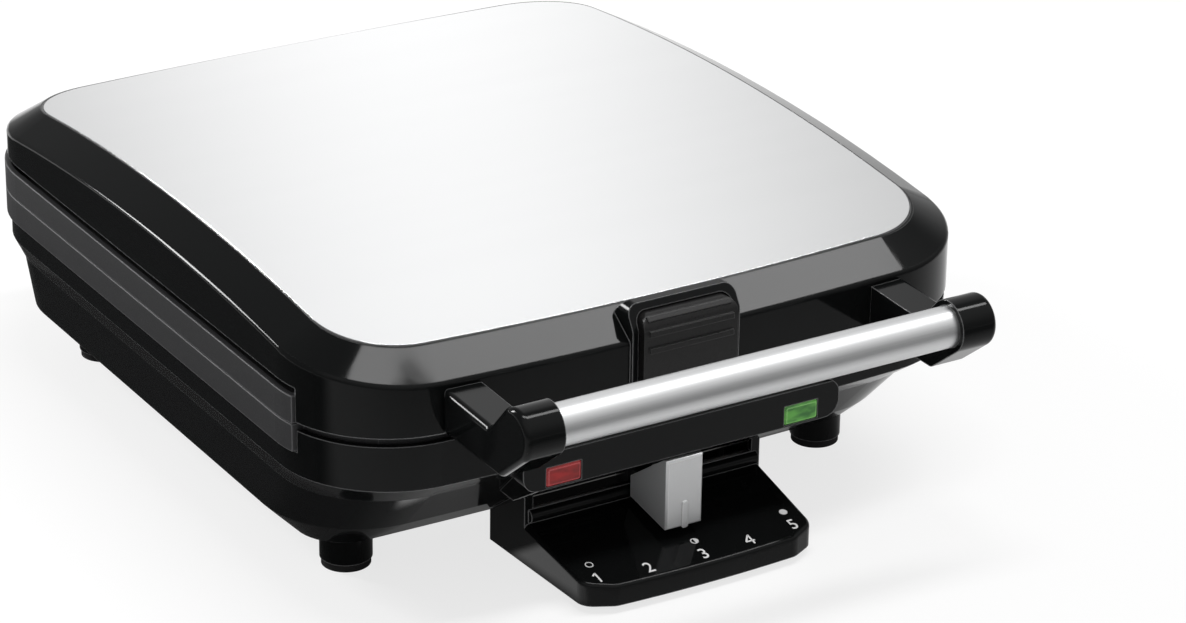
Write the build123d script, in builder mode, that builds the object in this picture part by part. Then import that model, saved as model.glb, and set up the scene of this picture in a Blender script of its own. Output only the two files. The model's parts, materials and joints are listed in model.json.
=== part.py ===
from build123d import *
import math
import os

os.makedirs("parts", exist_ok=True)

# Millimetres. +Z is up, -Y is the front, X = 0 is the plane of symmetry.
# The origin is on the table, under the middle of the whole object.

# Body seen from above: straight sides, slightly swollen ends, round corners
body_width = 289.0
body_depth = 328.1
end_bow = 5.8
corner_radius = 46.0
wall = 2.8

# Clearances between pieces
seam = 0.3
running_clearance = 0.05
pin_seat = 0.02

# Cuts run at least this far past the faces that they cut
overshoot = 10.0
margin = 1.0

# Heights above the table
pad_height = 3.0
foot_height = 14.0
parting_height = 79.0
lid_top = 119.0

# Lid
lid_arch_radius = 1100.0
bezel_width = 14.5
bezel_drop = 7.5
bezel_round = 2.0
roof = 2.4
lid_seam = 0.6
lid_side_gap = 3.1

# Steel cover on the lid
cover_sheet = 1.0
cover_gap = 0.4
cover_proud = 0.2

# Base: upright rim, tapered shoulder, then a tub that narrows to the feet
base_inset = 0.5
base_seam = 2.9
shoulder_height = 58.0
waist_height = 47.0
flank_height = 26.0
waist_sides = 6.5
waist_front = 16.0
waist_back = 8.0
flank_sides = 8.5
flank_front = 37.0
flank_back = 8.0
floor_sides = 20.3
floor_front = 53.0
floor_back = 21.5
waist_radius = 42.0
waist_rear_radius = 34.0
flank_radius = 40.0
floor_radius = 20.0
waist_bow = 4.0
flank_bow = 3.0
floor_bow = 2.0
floor_thickness = 2.5
opening_width = 150.0
opening_length = 150.0
cover_overlap = 10.0
bottom_cover_sheet = 1.4
post_radius = 5.0
post_web = 9.5
post_web_width = 6.0
post_across = 30.0
post_along = 18.0
rim_boss = 5.7
lid_post_foot = 3.0

# Feet
foot_radius = 10.2
foot_side = 37.0
foot_front = 67.05
foot_back = 45.25
pad_radius = 9.6
pad_spigot = 4.0

# Cooking plates: two castings that mirror each other about the parting
rim_height = 10.9
rim_thickness = 3.0
skirt = 2.4
strip_bulge = 1.2
strip_front = 38.0
strip_back = 20.3
plate_gap = 0.25
pan_side = 25.5
pan_end = 16.55
pan_depth = 12.5
pan_wall = 3.0
pan_draft = 12.0
peg_base = 17.0
peg_height = 10.0
peg_draft = 10.0
pegs_across = 4
pegs_along = 5
divider_width = 6.0
divider_height = 11.0
pan_margin = 2.0

# Heating elements and reflectors
element_radius = 3.25
element_gap = 0.3
element_inset = 30.0
element_bend = 22.0
element_terminal = 20.0
element_tail = 4.0
reflector_sheet = 0.8
reflector_drop = 3.0
reflector_inset = 6.0
spacer_radius = 5.0
spacer_side = 61.0
spacer_end = 69.5

# Handle: a metal tube between two arms with round caps
handle_reach = 47.3
handle_height = 100.1
cap_radius = 10.3
cap_length = 16.0
cap_round = 2.6
tube_radius = 8.0
tube_wall = 1.2
arm_side = 42.9
tube_seat = 8.0
arm_top = 97.2
arm_bottom = 79.8
arm_dip = 1.0
elbow_back = 8.8
collar_back = 17.5
elbow_round = 3.5
tie_rod_radius = 2.0
tie_nut_radius = 4.0
tie_nut_length = 3.0
tie_rod_reach = 13.0

# Latch rocker in its raised surround
surround_width = 47.0
surround_top = 112.8
surround_knee = 104.0
surround_front = 1.4
surround_brow = 4.1
surround_back = 8.0
surround_corner = 4.5
pocket_depth = 9.0
pocket_slope = 6.0
pocket_wall = 2.0
rocker_gap = 0.5
rocker_width = 41.2
rocker_front = 4.9
rocker_sheet = 4.0
rocker_top = 109.6
rocker_bottom = 80.0
rocker_nose = 6.5
rocker_corner = 4.5
rocker_back = 5.5
rib_width = 36.6
rib_depth = 0.8
rib_height = 2.2
rib_drop = 6.3
rib_pitch = 6.7
bar_angle = 50.0
ear_width = 6.0
ear_spread = 26.0
ear_radius = 3.6
latch_pin_radius = 1.5
latch_pin_height = 98.0
latch_pin_depth = 3.6
hook_width = 22.0
hook_skin = 0.7
hook_sheet = 1.2
hook_bottom = 70.0
hook_seat = 6.0
hook_tip = 2.45
hook_nose = 2.4
hook_drop = 0.4
hook_tip_height = 1.2
keeper_low = 73.4
keeper_high = 75.8
keeper_width = 26.0
keeper_proud = 1.3
keeper_stud_radius = 1.0
keeper_stud_spread = 16.0
keeper_stud_length = 5.0

# Hinge
hinge_overhang = 7.5
knuckle_radius = 6.3
hinge_pin_radius = 2.5
hinge_side = 49.5
lid_knuckle = 20.0
base_knuckle = 10.0
knuckle_gap = 0.4
web_height = 9.0

# Control housing: lamp fascia, riser and shelf
fascia_proud = 1.7
fascia_width = 140.0
fascia_top = 64.5
fascia_bottom = 48.6
fascia_round = 6.5
fascia_edge = 1.2
underside_height = 36.8
underside_back = 18.3
shelf_width = 108.0
shelf_front_width = 102.4
shelf_nose_width = 80.0
shelf_reach = 21.2
shelf_corner_back = 7.0
shelf_nose_back = 1.3
shelf_bottom = 3.0
shelf_lip = 11.3
shelf_root = 19.7
shelf_rear = 50.3
shelf_round = 2.0
shelf_corner_round = 7.0
riser_setback = 26.1
moulding_radius = 2.6
control_wall = 2.5
slot_low = 25.8
slot_high = 31.6

# Lamps
lamp_spread = 105.2
lamp_height = 53.4
lens_width = 15.0
lens_height = 7.8
lens_depth = 6.6
lens_proud = 0.5
lens_gap = 0.2
lens_corner = 1.2
lens_bevel = 0.8
neon_radius = 2.2
neon_length = 11.0

# Temperature slider: five settings
setting_pitch = 22.2
settings = 5
knob_width = 16.2
knob_low = 18.4
knob_high = 47.5
knob_lead = 2.9
knob_plate = 2.4
knob_tail_low = 22.2
knob_tail_high = 31.0
knob_bevel = 0.8
knob_gap = 0.7
pointer_width = 2.6
pointer_height = 11.0
pointer_proud = 0.7
stem_width = 8.0
stem_low = 27.0
stem_high = 30.4
stem_reach = 9.0
slot_end = 0.8
carriage_width = 11.0
carriage_depth = 8.0
carriage_low = 22.0
carriage_high = 34.0
rail_radius = 2.0
rail_lift = 1.0

# Rack, pinion and thermostat
gear_module = 1.5
pinion_teeth = 24
gear_low = 23.4
gear_thickness = 4.6
rack_back = 5.0
rack_setback = 52.0
backlash = 0.35
rack_spare = 1.5
pressure_angle = 20.0
root_depth = 1.25
spindle_radius = 3.0
thermostat_radius = 15.0
thermostat_height = 9.0

# Cord inlet bush
bush_x = 70.0
bush_height = 38.0
bush_radius = 7.0
bush_flange = 9.5
bush_sleeve = 6.2
bush_bore = 3.7
bush_mouth = 4.6
bush_flange_length = 3.0
bush_sleeve_length = 10.0
bush_step = 0.5
bush_boss = 2.5
bush_boss_rim = 1.0
bush_behind = 9.0

# Small inner pieces
screw_radius = 1.5
screw_head_radius = 3.0
screw_head = 2.0
screw_hole = 1.7
spacer_screw = 8.0
plate_screw = 7.0
cover_screw = 3.6
handle_screw = 14.0
screw_rest = 0.8
bearing_height = 5.0
vent_pitch = 22.0
vent_length = 33.0
vent_width = 4.0
handle_screw_height = 93.6
handle_screw_spread = 8.0
spring_sheet = 0.6
spring_width = 34.0
spring_length = 20.0
spring_drop = 6.0
terminal_width = 34.0
terminal_length = 16.0
terminal_height = 13.0
terminal_inset = 22.0
fuse_radius = 2.4
fuse_length = 22.0
fuse_x = 45.0
fuse_back = 60.0

# Places that follow from the sizes above
half_width = body_width / 2
overall_depth = cap_radius + handle_reach + body_depth + hinge_overhang + knuckle_radius
handle_y = cap_radius - overall_depth / 2
body_front = handle_y + handle_reach
body_back = body_front + body_depth
body_middle = (body_front + body_back) / 2
hinge_y = body_back + hinge_overhang
hinge_pin_length = lid_knuckle + 2 * (base_knuckle + knuckle_gap)
lid_bottom = parting_height + lid_seam
lid_side_bottom = parting_height + plate_gap + rim_height + lid_side_gap
base_top = parting_height - base_seam
base_side_top = parting_height - plate_gap - rim_height - lid_seam
base_front = body_front + base_inset
plate_floor = parting_height - plate_gap - pan_depth
pan_half_x = half_width - pan_side
pan_half_y = body_depth / 2 - pan_end
pitch_across = (pan_half_x - divider_width / 2 - pan_margin) / pegs_across
pitch_along = (pan_half_y - divider_width / 2 - pan_margin) / pegs_along
spacer_x = pan_half_x - spacer_side
spacer_y = pan_half_y - spacer_end
pan_bottom = plate_floor - rim_thickness
element_height = pan_bottom - element_gap - element_radius
reflector_height = element_height - element_radius - reflector_drop
tube_visible = body_width - 2 * (arm_side + cap_length)
arm_middle = (tube_visible + cap_length) / 2
fascia_front = body_front - fascia_proud
riser_y = body_front + riser_setback
shelf_front = body_front - shelf_reach
foot_x = half_width - foot_side
travel = setting_pitch * (settings - 1) / 2
pinion_radius = gear_module * pinion_teeth / 2
rack_line = body_front + rack_setback + rack_back + gear_module
pinion_y = rack_line + pinion_radius
rail_height = (carriage_low + carriage_high) / 2 + rail_lift
rail_y = riser_y + control_wall + seam + carriage_depth / 2
shelf_taper = (shelf_width - shelf_front_width) / 2 / (shelf_rear + shelf_reach - shelf_corner_back)
rail_half = shelf_width / 2 - shelf_taper * (body_front + shelf_rear - rail_y) - control_wall - seam
bottom_height = foot_height
cover_face = bottom_height - seam - bottom_cover_sheet
cover_screw_x = opening_width + cover_overlap
cover_screw_y = opening_length + cover_overlap
post_x = half_width - corner_radius + post_across
post_places = [
    (side * post_x, end)
    for side in (-1, 1)
    for end in (
        body_front + end_bow + corner_radius - post_along,
        body_back - end_bow - corner_radius + post_along,
    )
]
post_web_places = [(x + math.copysign(post_web / 2, x), y) for x, y in post_places]
post_top = parting_height - plate_gap - rim_thickness - rim_boss - seam
lid_post_bottom = 2 * parting_height - post_top
lid_foot_top = lid_side_bottom + lid_seam + lid_post_foot
handle_screw_places = [
    side * arm_middle + end * handle_screw_spread / 2 for side in (-1, 1) for end in (-1, 1)
]
keeper_studs = [
    (side * keeper_stud_spread / 2, (keeper_low + keeper_high) / 2) for side in (-1, 1)
]


# Outline of a wall, given how far its sides, front centre and back centre reach
def plan(half_x, front, back, radius, rear_radius, bow):
    with BuildSketch() as outline:
        with BuildLine():
            ThreePointArc((-half_x, front + bow), (0, front), (half_x, front + bow))
            Line((half_x, front + bow), (half_x, back - bow))
            ThreePointArc((half_x, back - bow), (0, back), (-half_x, back - bow))
            Line((-half_x, back - bow), (-half_x, front + bow))
        make_face()
        fillet(outline.vertices().sort_by(Axis.Y)[:2], radius)
        fillet(outline.vertices().sort_by(Axis.Y)[-2:], rear_radius)
    return outline.sketch


# The body's outline moved inwards by one distance all round
def body_plan(inset=0.0):
    return plan(
        half_width - inset,
        body_front + inset,
        body_back - inset,
        corner_radius - inset,
        corner_radius - inset,
        end_bow,
    )


# The tub's outline at one of its heights, moved inwards by a wall
def tub_plan(sides, front, back, radius, rear_radius, bow, inset):
    return plan(
        half_width - sides - inset,
        body_front + front + inset,
        body_back - back - inset,
        radius - inset,
        rear_radius - inset,
        bow,
    )


# A rounded block under the lid's arch, with the bezel sloping down all round
def arched_block(inset, sink, bottom, crease):
    with BuildPart() as block:
        with BuildSketch(Plane.XY.offset(bottom)):
            add(body_plan(inset))
        extrude(amount=lid_top - bottom + margin)
        with BuildSketch(Plane.YZ):
            with Locations((body_middle, lid_top - lid_arch_radius)):
                Circle(lid_arch_radius - sink)
        extrude(amount=body_width, both=True, mode=Mode.INTERSECT)
        top = block.faces().sort_by(Axis.Z)[-1]
        chamfer(top.edges(), bezel_width, bezel_drop, reference=top)
        if crease > 0:
            walls = block.faces().filter_by(lambda face: abs(face.normal_at().Z) < 0.01)
            fillet([face.edges().sort_by(Axis.Z)[-1] for face in walls], crease)
    return block.part


# A sheet bent to the lid's arch, reaching below and above it
def arched_sheet(inset, below, above):
    with BuildPart() as sheet:
        with BuildSketch(Plane.XY.offset(lid_bottom)):
            add(body_plan(inset))
        extrude(amount=lid_top)
        with BuildSketch(Plane.YZ):
            with Locations((body_middle, lid_top - lid_arch_radius)):
                Circle(lid_arch_radius + above)
                Circle(lid_arch_radius - below, mode=Mode.SUBTRACT)
        extrude(amount=body_width, both=True, mode=Mode.INTERSECT)
    return sheet.part


# The base's closed outer form, or with an inset, the hollow inside it
def tub_block(inset, floor, top):
    with BuildPart() as block:
        with BuildSketch(Plane.XY.offset(shoulder_height)):
            add(body_plan(base_inset + inset))
        extrude(amount=top - shoulder_height)
        with BuildSketch(Plane.XY.offset(shoulder_height)):
            add(body_plan(base_inset + inset))
        with BuildSketch(Plane.XY.offset(waist_height)):
            add(
                tub_plan(
                    waist_sides,
                    waist_front,
                    waist_back,
                    waist_radius,
                    waist_rear_radius,
                    waist_bow,
                    inset,
                )
            )
        with BuildSketch(Plane.XY.offset(flank_height)):
            add(
                tub_plan(
                    flank_sides,
                    flank_front,
                    flank_back,
                    flank_radius,
                    flank_radius,
                    flank_bow,
                    inset,
                )
            )
        with BuildSketch(Plane.XY.offset(bottom_height + floor)):
            add(
                tub_plan(
                    floor_sides,
                    floor_front,
                    floor_back,
                    floor_radius,
                    floor_radius,
                    floor_bow,
                    inset,
                )
            )
        loft(ruled=True)
    return block.part


# Two boxes that open the side walls where the plates' rims show
def side_windows(low, high, spare):
    middle = (body_front + strip_front + body_back - strip_back) / 2
    length = body_depth - strip_front - strip_back + 2 * spare
    with BuildPart() as windows:
        with BuildSketch(Plane.XY.offset(low)):
            with Locations((-half_width, middle), (half_width, middle)):
                Rectangle(2 * (corner_radius - strip_back), length)
        extrude(amount=high - low)
    return windows.part


# A block with one outline from the side and a rounded rectangle from the front
def crossed_block(side_outline, width, low, high, corner):
    with BuildPart() as block:
        with BuildSketch(Plane.YZ):
            add(side_outline)
        extrude(amount=width, both=True)
        with BuildSketch(Plane.XZ):
            with Locations((0, (low + high) / 2)):
                RectangleRounded(width, high - low, corner)
        extrude(amount=overall_depth, both=True, mode=Mode.INTERSECT)
    return block.part


# Barrel of a hinge knuckle with a web that reaches through the rear wall, along X
def knuckle(x, length, web_low, bore):
    with BuildPart() as barrel:
        with BuildSketch(Plane.YZ.offset(x - length / 2)):
            with Locations((hinge_y, parting_height)):
                Circle(knuckle_radius)
            with Locations((hinge_y - hinge_overhang, web_low + web_height / 2)):
                Rectangle(2 * hinge_overhang, web_height)
            with Locations((hinge_y, parting_height)):
                Circle(bore, mode=Mode.SUBTRACT)
        extrude(amount=length)
    return barrel.part


# Labels a finished piece and writes it as its own file
def save(piece, name):
    piece.label = name
    export_step(piece, f"parts/{name}.step")


# Side outlines of the latch's surround and of the pocket cut into it
surround_y = body_front - surround_front
with BuildSketch() as surround_side:
    with BuildLine():
        Polyline(
            (body_front + bezel_width, lid_bottom),
            (surround_y, lid_bottom),
            (surround_y, surround_knee),
            (body_front + surround_brow, surround_top),
            (body_front + surround_back, surround_top),
            (body_front + bezel_width, surround_knee),
            close=True,
        )
    make_face()
    fillet(surround_side.vertices().group_by(Axis.X)[0].sort_by(Axis.Y)[-1], surround_corner)
with BuildSketch() as pocket_side:
    with BuildLine():
        Polyline(
            (body_front + pocket_depth, lid_bottom - overshoot),
            (surround_y - overshoot, lid_bottom - overshoot),
            (surround_y - overshoot, rocker_top + rocker_gap),
            (body_front + rocker_back + rocker_gap, rocker_top + rocker_gap),
            (body_front + pocket_depth, rocker_top - pocket_slope),
            close=True,
        )
    make_face()

# Lid housing
hinge_centres = (hinge_side - half_width, half_width - hinge_side)
pocket_width = rocker_width + 2 * seam
with BuildPart() as lid_housing:
    add(arched_block(0, 0, lid_bottom, bezel_round))
    # The raised surround carries the latch at the middle of the front
    add(crossed_block(surround_side.sketch, surround_width, 0, surround_top, surround_corner))
    for x in hinge_centres:
        add(knuckle(x, lid_knuckle, lid_bottom, hinge_pin_radius + running_clearance))
    add(arched_block(wall, roof, lid_bottom - margin, 0), mode=Mode.SUBTRACT)
    # Walls of the pocket behind the latch
    with BuildSketch(Plane.XY.offset(lid_bottom)):
        with Locations((0, body_front + (pocket_depth + pocket_wall) / 2)):
            Rectangle(surround_width, pocket_depth + pocket_wall)
    extrude(amount=rocker_top - pocket_slope - lid_bottom)
    add(
        crossed_block(pocket_side.sketch, pocket_width, 0, rocker_top + rocker_gap, rocker_corner),
        mode=Mode.SUBTRACT,
    )
    # Posts that the upper plate is screwed to
    with BuildSketch(Plane.XY.offset(lid_side_bottom + lid_seam)):
        with Locations(*post_web_places):
            Rectangle(post_web, post_web_width)
    extrude(amount=lid_post_foot)
    with BuildSketch(Plane.XY.offset(lid_post_bottom)):
        with Locations(*post_places):
            Circle(post_radius)
    extrude(amount=lid_foot_top - lid_post_bottom)
    with BuildSketch(Plane.XY.offset(lid_post_bottom)):
        with Locations(*post_places):
            Circle(screw_hole)
    extrude(amount=lid_foot_top - lid_post_bottom, mode=Mode.SUBTRACT)
    add(side_windows(lid_bottom - margin, lid_side_bottom, seam), mode=Mode.SUBTRACT)
    # Holes for the latch pin and the handle's screws
    with Locations((0, body_front + latch_pin_depth, latch_pin_height)):
        Cylinder(
            latch_pin_radius + pin_seat,
            surround_width - pocket_wall,
            rotation=(0, 90, 0),
            mode=Mode.SUBTRACT,
        )
    for x in handle_screw_places:
        with Locations((x, body_front, handle_screw_height)):
            Cylinder(screw_hole, 2 * (end_bow + wall), rotation=(90, 0, 0), mode=Mode.SUBTRACT)
    # Recess for the steel cover
    add(arched_sheet(bezel_width + cover_gap, cover_sheet - cover_proud, margin), mode=Mode.SUBTRACT)
save(lid_housing.part, "lid_housing")

# Steel cover, bent to the arch and set into the lid
with BuildPart() as steel_cover:
    add(arched_sheet(bezel_width + cover_gap + seam, cover_sheet - cover_proud, cover_proud))
save(steel_cover.part, "steel_cover")


# Lower cooking plate: rim, side strips, pan with tapered pegs and a dividing cross
rim_top = parting_height - plate_gap
rim_bottom = rim_top - rim_height
strip_middle = (body_front + strip_front + body_back - strip_back) / 2
strip_length = body_depth - strip_front - strip_back


# The rim's outline: inside the walls at the ends, out past them at the sides,
# and notched at the front for the latch's pocket
def rim_plan(inset):
    notch_depth = pocket_depth + pocket_wall + seam
    with BuildSketch() as outline:
        add(body_plan(inset - strip_bulge))
        with Locations((0, strip_middle)):
            Rectangle(body_width + 2 * strip_bulge, strip_length - 2 * inset, mode=Mode.INTERSECT)
        add(body_plan(base_inset + wall + seam + inset))
        with Locations((0, body_front)):
            Rectangle(
                surround_width + 2 * seam + 2 * inset,
                2 * notch_depth + 2 * inset,
                mode=Mode.SUBTRACT,
            )
    return outline.sketch


with BuildPart() as lower_plate:
    with BuildSketch(Plane.XY.offset(rim_bottom)):
        add(rim_plan(0))
    extrude(amount=rim_height)
    with BuildSketch(Plane.XY.offset(rim_bottom)):
        add(rim_plan(skirt))
    extrude(amount=rim_height - rim_thickness, mode=Mode.SUBTRACT)
    with BuildSketch(Plane.XY.offset(pan_bottom)):
        with Locations((0, body_middle)):
            Rectangle(2 * (pan_half_x + pan_wall), 2 * (pan_half_y + pan_wall))
    extrude(amount=rim_top - pan_bottom)
    with BuildSketch(Plane.XY.offset(rim_top)):
        with Locations((0, body_middle)):
            RectangleRounded(2 * pan_half_x, 2 * pan_half_y, pan_margin * 2)
    extrude(amount=-pan_depth, taper=pan_draft, mode=Mode.SUBTRACT)
    section_x = pegs_across * pitch_across / 2 + divider_width / 2
    section_y = pegs_along * pitch_along / 2 + divider_width / 2
    with BuildSketch(Plane.XY.offset(plate_floor)):
        with Locations((0, body_middle)):
            with GridLocations(2 * section_x, 2 * section_y, 2, 2):
                with GridLocations(pitch_across, pitch_along, pegs_across, pegs_along):
                    Rectangle(peg_base, peg_base)
    extrude(amount=peg_height, taper=peg_draft)
    with BuildSketch(Plane.XY.offset(plate_floor)):
        with Locations((0, body_middle)):
            Rectangle(divider_width, 2 * pan_half_y - pan_wall)
            Rectangle(2 * pan_half_x - pan_wall, divider_width)
    extrude(amount=divider_height, taper=peg_draft)
    # Bosses over the base's posts
    with BuildSketch(Plane.XY.offset(rim_top - rim_thickness)):
        with Locations(*post_places):
            Circle(post_radius)
    extrude(amount=-rim_boss)
    # Posts that hold the reflector
    with BuildSketch(Plane.XY.offset(pan_bottom)):
        with Locations((0, body_middle)):
            with GridLocations(2 * spacer_x, 2 * spacer_y, 2, 2):
                Circle(spacer_radius)
    extrude(amount=reflector_height - pan_bottom)
    # Screw holes in the bosses and posts
    with BuildSketch(Plane.XY.offset(rim_top - rim_thickness - rim_boss)):
        with Locations(*post_places):
            Circle(screw_radius + pin_seat)
    extrude(amount=plate_screw, mode=Mode.SUBTRACT)
    with BuildSketch(Plane.XY.offset(reflector_height)):
        with Locations((0, body_middle)):
            with GridLocations(2 * spacer_x, 2 * spacer_y, 2, 2):
                Circle(screw_radius + pin_seat)
    extrude(amount=spacer_screw, mode=Mode.SUBTRACT)
save(lower_plate.part, "lower_plate")

# Tubular element under the lower pan: one loop with both tails at the back
with BuildPart() as lower_element:
    loop_x = pan_half_x - element_inset
    loop_front = body_middle - pan_half_y + element_inset
    loop_back = body_middle + pan_half_y - element_inset
    tail_end = body_middle + pan_half_y + pan_wall - element_tail
    with BuildLine() as route:
        FilletPolyline(
            (-element_terminal, tail_end, element_height),
            (-element_terminal, loop_back, element_height),
            (-loop_x, loop_back, element_height),
            (-loop_x, loop_front, element_height),
            (loop_x, loop_front, element_height),
            (loop_x, loop_back, element_height),
            (element_terminal, loop_back, element_height),
            (element_terminal, tail_end, element_height),
            radius=element_bend,
        )
    with BuildSketch(Plane(origin=route.line @ 0, z_dir=route.line % 0)):
        Circle(element_radius)
    sweep()
save(lower_element.part, "lower_element")

# Reflector: a shallow tray under the element
with BuildPart() as lower_reflector:
    tray_x = 2 * (pan_half_x - reflector_inset)
    tray_y = 2 * (pan_half_y - reflector_inset)
    tray_height = pan_bottom - seam - (reflector_height - reflector_sheet)
    with BuildSketch(Plane.XY.offset(reflector_height - reflector_sheet)):
        with Locations((0, body_middle)):
            RectangleRounded(tray_x, tray_y, reflector_inset)
    extrude(amount=tray_height)
    with BuildSketch(Plane.XY.offset(reflector_height)):
        with Locations((0, body_middle)):
            inside = reflector_inset - reflector_sheet
            RectangleRounded(tray_x - 2 * reflector_sheet, tray_y - 2 * reflector_sheet, inside)
    extrude(amount=tray_height, mode=Mode.SUBTRACT)
    # Holes for the screws into the posts
    with BuildSketch(Plane.XY.offset(reflector_height - reflector_sheet)):
        with Locations((0, body_middle)):
            with GridLocations(2 * spacer_x, 2 * spacer_y, 2, 2):
                Circle(screw_hole)
    extrude(amount=reflector_sheet, mode=Mode.SUBTRACT)
    # Notch for the element's tails
    with BuildSketch(Plane.XY.offset(reflector_height)):
        with Locations((0, body_middle + tray_y / 2)):
            Rectangle(2 * element_terminal + 4 * element_radius, 4 * reflector_sheet)
    extrude(amount=tray_height, mode=Mode.SUBTRACT)
save(lower_reflector.part, "lower_reflector")

# The upper plate, element and reflector are the lower ones turned over the parting
for piece, name in (
    (lower_plate, "upper_plate"),
    (lower_element, "upper_element"),
    (lower_reflector, "upper_reflector"),
):
    with BuildPart() as upper:
        add(mirror(piece.part, about=Plane.XY.offset(parting_height), mode=Mode.PRIVATE))
    save(upper.part, name)


# A screw with its head outside, pointing along a direction
def screw(origin, direction, shank):
    with BuildPart(Plane(origin=origin, z_dir=direction)) as one:
        Cylinder(screw_head_radius, screw_head, align=(Align.CENTER, Align.CENTER, Align.MIN))
        Cylinder(screw_radius, shank, align=(Align.CENTER, Align.CENTER, Align.MAX))
    return one.part


# Base housing: the tub with a floor, an opening under it and two hinge knuckles a side
mechanism_half = shelf_width / 2 - control_wall - seam
boss_face_y = body_back - waist_back + bush_boss
with BuildPart() as base_housing:
    add(tub_block(0, 0, base_top))
    for x in hinge_centres:
        for side in (-1, 1):
            place = x + side * (lid_knuckle / 2 + knuckle_gap + base_knuckle / 2)
            add(knuckle(place, base_knuckle, base_top - web_height, hinge_pin_radius + pin_seat))
    add(tub_block(wall, floor_thickness, base_top + margin), mode=Mode.SUBTRACT)
    # Posts that the lower plate is screwed to
    with BuildSketch(Plane.XY.offset(shoulder_height)):
        with Locations(*post_web_places):
            Rectangle(post_web, post_web_width)
    extrude(amount=base_side_top - shoulder_height - lid_seam)
    with BuildSketch(Plane.XY.offset(shoulder_height)):
        with Locations(*post_places):
            Circle(post_radius)
    extrude(amount=post_top - shoulder_height)
    with BuildSketch(Plane.XY.offset(shoulder_height)):
        with Locations(*post_places):
            Circle(screw_hole)
    extrude(amount=post_top - shoulder_height, mode=Mode.SUBTRACT)
    # Bearing for the foot of the thermostat spindle
    with BuildSketch(Plane.XY.offset(bottom_height + floor_thickness)):
        with Locations((0, pinion_y)):
            Circle(2 * spindle_radius)
            Circle(spindle_radius + running_clearance, mode=Mode.SUBTRACT)
    extrude(amount=bearing_height)
    # Boss for the cord bush
    with BuildSketch(Plane.XZ.offset(-boss_face_y)):
        with Locations((bush_x, bush_height)):
            Circle(bush_flange + bush_boss_rim)
    extrude(amount=bush_boss + bush_behind)
    with BuildSketch(Plane.XZ.offset(-boss_face_y)):
        with Locations((bush_x, bush_height)):
            Circle(bush_radius + running_clearance)
    extrude(amount=2 * bush_behind, mode=Mode.SUBTRACT)
    # Opening in the floor, with the holes of its cover's screws
    with BuildSketch(Plane.XY.offset(bottom_height)):
        with Locations((0, body_middle)):
            RectangleRounded(opening_width, opening_length, cover_overlap)
            with GridLocations(cover_screw_x, cover_screw_y, 2, 2):
                Circle(screw_hole)
    extrude(amount=floor_thickness, mode=Mode.SUBTRACT)
    # Window in the front wall for the slider's carriage
    with BuildSketch(Plane.XY.offset(bottom_height + floor_thickness)):
        with Locations((0, body_front + floor_front / 2)):
            Rectangle(2 * mechanism_half, floor_front + 4 * wall)
    extrude(amount=underside_height - seam - bottom_height - floor_thickness, mode=Mode.SUBTRACT)
    # Holes for the lamps
    with BuildSketch(Plane.XZ.offset(-body_front)):
        with Locations((-lamp_spread / 2, lamp_height), (lamp_spread / 2, lamp_height)):
            Rectangle(lens_width + 2 * seam, lens_height + 2 * seam)
    extrude(amount=-floor_front, mode=Mode.SUBTRACT)
    # Holes for the studs of the latch's keeper
    with BuildSketch(Plane.XZ.offset(-body_front)):
        with Locations(*keeper_studs):
            Circle(keeper_stud_radius + pin_seat)
    extrude(amount=-2 * wall, mode=Mode.SUBTRACT)
    add(side_windows(base_side_top, base_top + margin, seam), mode=Mode.SUBTRACT)
save(base_housing.part, "base_housing")

# Steel ledge on the front of the rim, which the hook catches, with two studs through the wall
with BuildPart() as latch_keeper:
    with BuildSketch(Plane.XZ.offset(keeper_proud - base_front)):
        with Locations((0, (keeper_low + keeper_high) / 2)):
            Rectangle(keeper_width, keeper_high - keeper_low)
    extrude(amount=pin_seat - keeper_proud)
    with BuildSketch(Plane.XZ.offset(-base_front)):
        with Locations(*keeper_studs):
            Circle(keeper_stud_radius)
    extrude(amount=-keeper_stud_length)
    with BuildSketch(Plane.XZ.offset(-base_front)):
        with Locations(*keeper_studs):
            Circle(keeper_stud_radius)
    extrude(amount=2 * pin_seat)
save(latch_keeper.part, "latch_keeper")

# Hinge pins
for x, name in zip(hinge_centres, ("hinge_pin_left", "hinge_pin_right")):
    with BuildPart() as hinge_pin:
        with BuildSketch(Plane.YZ.offset(x - hinge_pin_length / 2)):
            with Locations((hinge_y, parting_height)):
                Circle(hinge_pin_radius)
        extrude(amount=hinge_pin_length)
    save(hinge_pin.part, name)

# Sheet cover under the floor's opening
with BuildPart() as bottom_cover:
    with BuildSketch(Plane.XY.offset(cover_face)):
        with Locations((0, body_middle)):
            RectangleRounded(
                opening_width + 2 * cover_overlap,
                opening_length + 2 * cover_overlap,
                cover_overlap,
            )
            with GridLocations(cover_screw_x, cover_screw_y, 2, 2):
                Circle(screw_hole, mode=Mode.SUBTRACT)
            # Vent slots
            with GridLocations(vent_length + vent_pitch / 2, vent_pitch, 3, 5):
                SlotOverall(vent_length, vent_width, mode=Mode.SUBTRACT)
    extrude(amount=bottom_cover_sheet)
save(bottom_cover.part, "bottom_cover")

with BuildPart() as bottom_cover_screws:
    for x in (-cover_screw_x / 2, cover_screw_x / 2):
        for y in (body_middle - cover_screw_y / 2, body_middle + cover_screw_y / 2):
            add(screw((x, y, cover_face), (0, 0, -1), cover_screw))
save(bottom_cover_screws.part, "bottom_cover_screws")

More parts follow.
